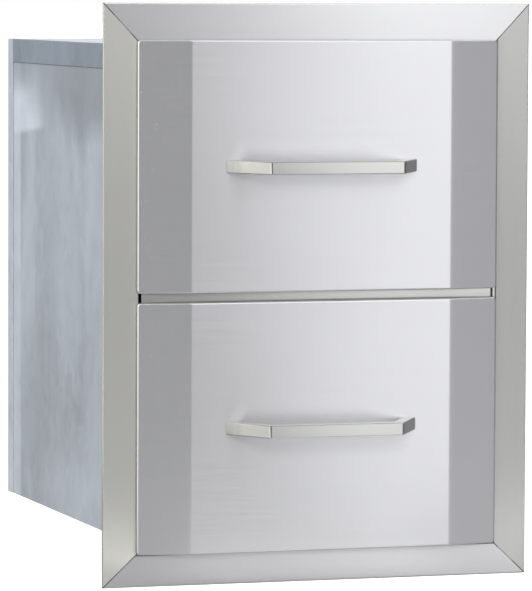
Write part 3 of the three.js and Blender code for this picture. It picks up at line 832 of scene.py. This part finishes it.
def enclosure_welds():
    """Rows of spot welds round the enclosure's laps on both sides."""
    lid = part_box("enclosure_top")
    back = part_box("enclosure_back")
    under_lid = back[1].z - SKIRT
    for hand, side in HANDS.items():
        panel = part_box(f"enclosure_{hand}")
        facing = (side, 0, 0)
        skirt, lap, face = (outermost(box, side) for box in (lid, back, panel))
        rows = {"skirt_welds": [], "welds": []}
        for y in spread(*SKIRT_WELD_ROW):
            rows["skirt_welds"].append((Vector((skirt, y, under_lid + SKIRT_WELD_RISE)), facing))
        for z in spread(back[0].z + LAP_WELD_END, under_lid - LAP_WELD_END, LAP_WELDS):
            rows["welds"].append((Vector((lap, back[1].y - WELD_INSET, z)), facing))
        for y in spread(*FLOOR_WELD_ROW):
            rows["welds"].append((Vector((face, y, panel[0].z + FLOOR_WELD_RISE)), facing))
        for row, finish in (("skirt_welds", "lid_zinc"), ("welds", f"{hand}_zinc")):
            name = f"enclosure_{hand}_{row}"
            scatter(name, weld_mark(WELD_RADIUS), rows[row], "cabinet", finish)


def dimpled_back():
    """The enclosure's back, with the shallow dimples of two rows of spot welds pressed into it."""
    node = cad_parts["enclosure_back"]
    start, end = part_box("enclosure_back")
    work = bmesh.new()
    work.from_mesh(node.data)
    work.transform(node.matrix_world)
    bmesh.ops.remove_doubles(work, verts=work.verts, dist=JOIN_DISTANCE)
    dish = [
        (0, -DIMPLE_DEPTH), (WELD_RADIUS * DIMPLE_FLOOR, -DIMPLE_DEPTH), (WELD_RADIUS, 0),
        (WELD_RADIUS, DIMPLE_ABOVE), (0, DIMPLE_ABOVE),
    ]
    places = [
        (Vector((x, end.y, z)), (0, 1, 0))
        for x in spread(start.x + REAR_WELD_INSET, end.x - REAR_WELD_INSET, REAR_WELDS)
        for z in (start.z + WELD_INSET, end.z - WELD_INSET)
    ]
    dimples = copies("dimples", lathe(dish, DIMPLE_SIDES), places)
    mesh = carved(mesh_from(work, "back"), dimples)
    back = add_piece("enclosure_fine_back", mesh, "cabinet", "rear_zinc", False)
    soften(back, BACK_EDGE)
    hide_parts("enclosure_back")


def rivet_tail(radius, height):
    """The domed end of a rivet on a thin collar."""
    waist = radius * 0.78
    profile = [(0, -FIXING_SEAT), (radius, -FIXING_SEAT), (radius, 0.25 * MM), (waist, 0.3 * MM)]
    return lathe(profile + dome(waist, height, 0.25, 5))


def release_lever(level, hand):
    """The black lever that frees a drawer member from its runner."""
    side = HANDS[hand]
    start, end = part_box(f"{level}_{hand}_drawer_member")
    web = side * (min(abs(start.x), abs(end.x)) + LEVER_SEAT)
    middle = (start.z + end.z) / 2
    work = bmesh.new()
    face = work.faces.new([
        work.verts.new((web, start.y + LEVER_START + along_y * MM, middle + up * MM))
        for along_y, up in LEVER_OUTLINE
    ])
    grown = bmesh.ops.extrude_face_region(work, geom=[face])
    moved = [item for item in grown["geom"] if isinstance(item, bmesh.types.BMVert)]
    bmesh.ops.translate(work, verts=moved, vec=(side * LEVER_THICKNESS, 0, 0))
    name = f"{level}_{hand}_release_lever"
    mesh = mesh_from(work, "lever")
    lever = add_piece(name, mesh, f"{level}_drawer", "rubber", False)
    round_edges(lever, LEVER_EDGE, LEVER_ANGLE)
    shade_smooth(lever)


def tray_fixings(level):
    """Screws and rivets that hold the slides to the tray, levers, and welds at its corners."""
    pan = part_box(f"{level}_tray_pan")
    body = f"{level}_drawer"
    low_weld, middle_weld, high_weld = TRAY_WELD_HEIGHTS
    for hand, side in HANDS.items():
        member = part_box(f"{level}_{hand}_drawer_member")
        height = (member[0].z + member[1].z) / 2
        wall = side * min(abs(member[0].x), abs(member[1].x))
        middle = (member[0].y + member[1].y) / 2
        rows = (member[0].y + SLOT_END_INSET, middle, member[1].y - SLOT_END_INSET)
        fixings = (
            ("slide_rivets", rivet_tail(*SLIDE_RIVET), wall - side * TRAY_SHEET, -side),
            ("slide_screws", pan_screw(*SLIDE_SCREW), wall + side * MEMBER_SHEET, side),
        )
        for kind, prototype, seat, facing in fixings:
            places = [(Vector((seat, y, height)), (facing, 0, 0)) for y in rows]
            scatter(f"{level}_{hand}_{kind}", prototype, places, body, "plate")
        release_lever(level, hand)
        places = [
            (Vector((wall, y, z)), (side, 0, 0))
            for y in (pan[0].y + TRAY_WELD_INSET, pan[1].y - TRAY_WELD_INSET)
            for z in (pan[0].z + low_weld, member[1].z + middle_weld, pan[1].z + high_weld)
        ]
        name = f"{level}_{hand}_tray_welds"
        scatter(name, weld_mark(TRAY_WELD_RADIUS), places, body, "tray")


def handle_screw(level, hand):
    """A pan head screw through the front into the handle's foot."""
    node = f"{level}_{hand}_handle_screw"
    start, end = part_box(node)
    radius = (end.x - start.x) / 2
    shank = radius * HANDLE_SHANK
    centre = Vector(((start.x + end.x) / 2, end.y - HANDLE_HEAD, (start.z + end.z) / 2))
    length = centre.y - start.y
    head = pan_screw(radius, HANDLE_HEAD)
    thread = lathe([(0, 0), (shank, 0), (shank, length), (0, length)])
    work = bmesh.new()
    for mesh, degrees in ((head, -90), (thread, 90)):
        turn = Matrix.Rotation(math.radians(degrees), 4, "X")
        mesh.transform(Matrix.Translation(centre) @ turn)
        work.from_mesh(mesh)
    name = f"{level}_{hand}_fine_screw"
    screw = add_piece(name, mesh_from(work, "screw"), f"{level}_drawer", "plate")
    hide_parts(node)


# Ball cages: a stamped channel with a round window for each ball
BALL_RADIUS = 2.0 * MM
CAGE_SHEET = 0.4 * MM
BALL_PAIRS = 6
WINDOW_SHARE = 0.93


def window_plate(work, start, end, inner, outer, height, radius):
    """A flat strip in Y and X with a round window in each of its equal cells."""
    pitch = (end - start) / BALL_PAIRS
    centre_x = (inner + outer) / 2
    half_x, half_y = abs(outer - inner) / 2, pitch / 2
    corner = math.atan2(half_y, half_x)
    angles = {2 * math.pi * side / ROUND_SIDES for side in range(ROUND_SIDES)}
    angles |= {corner, math.pi - corner, math.pi + corner, 2 * math.pi - corner}
    for cell in range(BALL_PAIRS):
        centre_y = start + pitch * (cell + 0.5)
        rings = ([], [])
        for angle in sorted(angles):
            x, y = math.cos(angle), math.sin(angle)
            stretch = min(half_x / max(abs(x), 1e-9), half_y / max(abs(y), 1e-9))
            for ring, size in zip(rings, (radius, stretch)):
                ring.append(work.verts.new((centre_x + size * x, centre_y + size * y, height)))
        bridge(work, *rings)


def ball_cage(level, hand, which):
    node = f"{level}_{hand}_{which}_balls"
    start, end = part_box(node)
    web, tip = (start.x, end.x) if HANDS[hand] < 0 else (end.x, start.x)
    centre_z = (start.z + end.z) / 2
    reach = (end.z - start.z) / 2 - BALL_RADIUS
    heights = (centre_z - reach, centre_z + reach)
    work = bmesh.new()
    for z in heights:
        window_plate(work, start.y, end.y, web, tip, z, BALL_RADIUS * WINDOW_SHARE)
    lower, upper = heights
    corners = ((start.y, lower), (end.y, lower), (end.y, upper), (start.y, upper))
    work.faces.new([work.verts.new((web, y, z)) for y, z in corners])
    bmesh.ops.remove_doubles(work, verts=work.verts, dist=JOIN_DISTANCE)
    body = f"{level}_{which}_cages"
    name = f"{level}_{hand}_{which}"
    cage = add_piece(f"{name}_cage", mesh_from(work, "cage"), body, "plate")
    sheet = cage.modifiers.new("sheet", "SOLIDIFY")
    sheet.thickness = CAGE_SHEET
    sheet.offset = 0
    pitch = (end.y - start.y) / BALL_PAIRS
    places = [
        (Vector(((web + tip) / 2, start.y + pitch * (index + 0.5), z)), (0, 0, 1))
        for index in range(BALL_PAIRS)
        for z in heights
    ]
    ball = bearing_ball(BALL_RADIUS)
    balls = scatter(f"{name}_steel_balls", ball, places, body, "ball")
    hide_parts(node)
    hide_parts(node)


enclosure_welds()
dimpled_back()
for level in LEVELS:
    front_skin(level)
    tray_fixings(level)
    for hand in HANDS:
        handle_screw(level, hand)
        for which in ("outer", "inner"):
            ball_cage(level, hand, which)


# Floor: its edges, and the rise and fall of a painted pool of light on it in front of the unit
FLOOR_X = (-1.2, 30.0)
FLOOR_Y = (-0.57, 60.0)
LIGHT_POOL_X = (-0.18, -0.06, 0.1, 0.2)
LIGHT_POOL_Y = (-0.3, -0.14, -0.05, 0.0)
LIGHT_POOL_COLOUR = (0.56, 0.56, 0.56)


def make_floor():
    top = cad_box[0].z
    mesh = bpy.data.meshes.new("floor")
    (left, right), (near, far) = FLOOR_X, FLOOR_Y
    corners = [(x, y, top) for x, y in ((left, near), (right, near), (right, far), (left, far))]
    mesh.from_pydata(corners, [], [range(len(corners))])
    floor = bpy.data.objects.new("floor", mesh)
    bpy.context.scene.collection.objects.link(floor)
    material, shader = new_material("floor_paper")
    graph = Graph(material.node_tree)
    fibre = graph.noise(graph.place(), 300, 3, 0.6)
    paper = graph.mix(fibre, (0.27, 0.27, 0.275), (0.30, 0.30, 0.305))
    place = graph.add("ShaderNodeSeparateXYZ")
    graph.link(graph.place(), place.inputs[0])
    light_pool = graph.math(
        "MULTIPLY",
        graph.window(place.outputs["X"], *LIGHT_POOL_X),
        graph.window(place.outputs["Y"], *LIGHT_POOL_Y),
    )
    # The pool of light is painted into the paper's colour
    graph.link(graph.mix(light_pool, paper, LIGHT_POOL_COLOUR), shader.inputs["Base Color"])
    shader.inputs["Roughness"].default_value = 0.9
    shader.inputs["Specular IOR Level"].default_value = 0.1
    shader.inputs["Emission Color"].default_value = (1, 1, 1, 1)
    seen = graph.add("ShaderNodeLightPath").outputs["Is Camera Ray"]
    graph.link(seen, shader.inputs["Emission Strength"])
    mesh.materials.append(material)


# Brightness of the studio round the object: degrees from the front, towards the right, and colour
STUDIO = (
    (-180, (0.50, 0.52, 0.55)),
    (-150, (0.53, 0.56, 0.59)),
    (-122, (1.15, 1.17, 1.13)),
    (-104, (1.20, 1.20, 1.15)),
    (-84, (1.45, 1.45, 1.39)),
    (-70, (1.40, 1.40, 1.36)),
    (-56, (2.20, 2.20, 2.15)),
    (-45, (1.00, 1.00, 0.98)),
    (-25, (0.42, 0.42, 0.41)),
    (-12, (0.25, 0.25, 0.255)),
    (8, (0.24, 0.24, 0.245)),
    (16.4, (0.25, 0.25, 0.255)),
    (20, (1.98, 1.98, 2.03)),
    (22.3, (0.66, 0.66, 0.68)),
    (28, (0.43, 0.43, 0.45)),
    (38.8, (0.42, 0.42, 0.44)),
    (41.5, (0.11, 0.11, 0.12)),
    (100, (0.12, 0.12, 0.12)),
    (143, (0.13, 0.13, 0.13)),
    (156, (1.10, 1.12, 1.15)),
    (178, (1.10, 1.12, 1.15)),
    (180, (0.50, 0.52, 0.55)),
)
# Brighter and dimmer parts: from where to where in degrees and in height, and how much they gain
PATCHES_OF_LIGHT = (
    ((12, 15, 17, 18.6), (-0.5, -0.4, -0.075, -0.02), 0.10),
    ((18.3, 20.3, 31, 35), (-0.5, -0.4, -0.075, -0.02), -0.13),
    ((16, 17, 18.5, 20.5), (-0.12, -0.105, -0.085, -0.07), 0.35),
    ((22, 24, 31, 35), (-0.045, -0.01, 0.05, 0.1), 0.30),
)
# Gain by height, as the sine of the angle above the horizon: from, to, and the gains there
HORIZON_GAIN = (-0.06, 0.01, 1.0, 1.48)
FOOT_GAIN = (-0.11, -0.07, 0.12, 0)
UPPER_GAIN = (0.05, 0.2, 1.0, 1.15)
# The ground, ceiling and zenith: from and to which height, their shares there, and a colour
CAPS = (
    (-0.3, -0.12, 1, 0, (0.5, 0.5, 0.5)),
    (0.5, 0.75, 0, 1, (1.7, 1.7, 1.7)),
    (0.88, 0.97, 0, 1, (0.4, 0.4, 0.4)),
)


def make_studio():
    world = bpy.data.worlds.new("studio")
    bpy.context.scene.world = world
    world.use_nodes = True
    graph = Graph(world.node_tree)
    background = world.node_tree.nodes["Background"]
    direction = graph.add("ShaderNodeSeparateXYZ")
    graph.link(graph.add("ShaderNodeTexCoord").outputs["Generated"], direction.inputs[0])
    forward = graph.math("MULTIPLY", direction.outputs["Y"], -1.0)
    azimuth = graph.math("ARCTAN2", direction.outputs["X"], forward)
    turn = graph.math("ADD", graph.math("DIVIDE", azimuth, 2 * math.pi), 0.5)
    ramp = graph.add("ShaderNodeValToRGB")
    ramp.color_ramp.interpolation = "EASE"
    stops = ramp.color_ramp.elements
    while len(stops) > 1:
        stops.remove(stops[0])
    for index, (degrees, colour) in enumerate(STUDIO):
        place = (degrees + 180) / 360
        stop = stops[0] if index == 0 else stops.new(place)
        stop.position = place
        stop.color = (*colour, 1)
    graph.link(turn, ramp.inputs[0])
    height = direction.outputs["Z"]
    horizon = graph.span(height, *HORIZON_GAIN)
    rise = graph.math("ADD", horizon, graph.span(height, *FOOT_GAIN))
    around = graph.add("ShaderNodeVectorMath", operation="SCALE")
    graph.link(ramp.outputs[0], around.inputs[0])
    scale = graph.math("MULTIPLY", rise, graph.span(height, *UPPER_GAIN))
    for sideways, upwards, gain in PATCHES_OF_LIGHT:
        across = graph.window(azimuth, *(math.radians(degrees) for degrees in sideways))
        cover = graph.math("MULTIPLY", across, graph.window(height, *upwards))
        gained = graph.math("MULTIPLY", cover, gain)
        scale = graph.math("MULTIPLY", scale, graph.math("ADD", gained, 1.0))
    graph.link(scale, around.inputs["Scale"])
    light = around.outputs[0]
    for *change, colour in CAPS:
        light = graph.mix(graph.span(height, *change), light, colour)
    seen = graph.add("ShaderNodeLightPath").outputs["Is Camera Ray"]
    graph.link(graph.mix(seen, light, (1.0, 1.0, 1.0)), background.inputs["Color"])
    background.inputs["Strength"].default_value = 1.0


# Lamps: name, place, target, side and power
LAMPS = (
    ("overhead", (0.2, -0.6, 3.2), (0, 0.1, 0.2), 2.2, 30),
    ("front_fill", (-0.5, -2.2, 1.0), (0, 0, 0.28), 0.4, 105),
)


def make_lamp(name, place, target, side, power):
    """A square lamp that mirrors don't show."""
    light = bpy.data.lights.new(name, "AREA")
    light.shape = "RECTANGLE"
    light.size = light.size_y = side
    light.energy = power
    lamp = bpy.data.objects.new(name, light)
    lamp.location = place
    lamp.rotation_euler = (Vector(target) - Vector(place)).to_track_quat("-Z", "Y").to_euler()
    lamp.visible_glossy = False
    bpy.context.scene.collection.objects.link(lamp)


# Camera: place in metres, angles in radians, focal length and long side in pixels
CAMERA_PLACE = (-1.37521, -4.11838, 0.57065)
CAMERA_YAW = 0.310897
CAMERA_PITCH = 0.0689647
CAMERA_ROLL = 0.00429233
FOCAL_PIXELS = 4504.88
IMAGE_LONG_SIDE = 591
SENSOR = 36
FAR_CLIP = 500


def make_camera():
    """The camera that took the photograph, solved from the object's outlines."""
    camera = bpy.data.cameras.new("camera")
    camera.sensor_width = SENSOR
    camera.lens = FOCAL_PIXELS / IMAGE_LONG_SIDE * SENSOR
    camera.clip_end = FAR_CLIP
    eye = bpy.data.objects.new("camera", camera)
    sine, cosine = math.sin(CAMERA_YAW), math.cos(CAMERA_YAW)
    flat = math.cos(CAMERA_PITCH)
    ahead = Vector((sine * flat, cosine * flat, -math.sin(CAMERA_PITCH)))
    flat_right = Vector((cosine, -sine, 0))
    flat_up = flat_right.cross(ahead)
    right = math.cos(CAMERA_ROLL) * flat_right + math.sin(CAMERA_ROLL) * flat_up
    up = math.cos(CAMERA_ROLL) * flat_up - math.sin(CAMERA_ROLL) * flat_right
    turn = Matrix((right, up, -ahead)).transposed().to_4x4()
    eye.matrix_world = Matrix.Translation(CAMERA_PLACE) @ turn
    bpy.context.scene.collection.objects.link(eye)
    bpy.context.scene.camera = eye


make_floor()
make_studio()
for lamp in LAMPS:
    make_lamp(*lamp)
make_camera()
bpy.context.scene.view_settings.view_transform = "Standard"
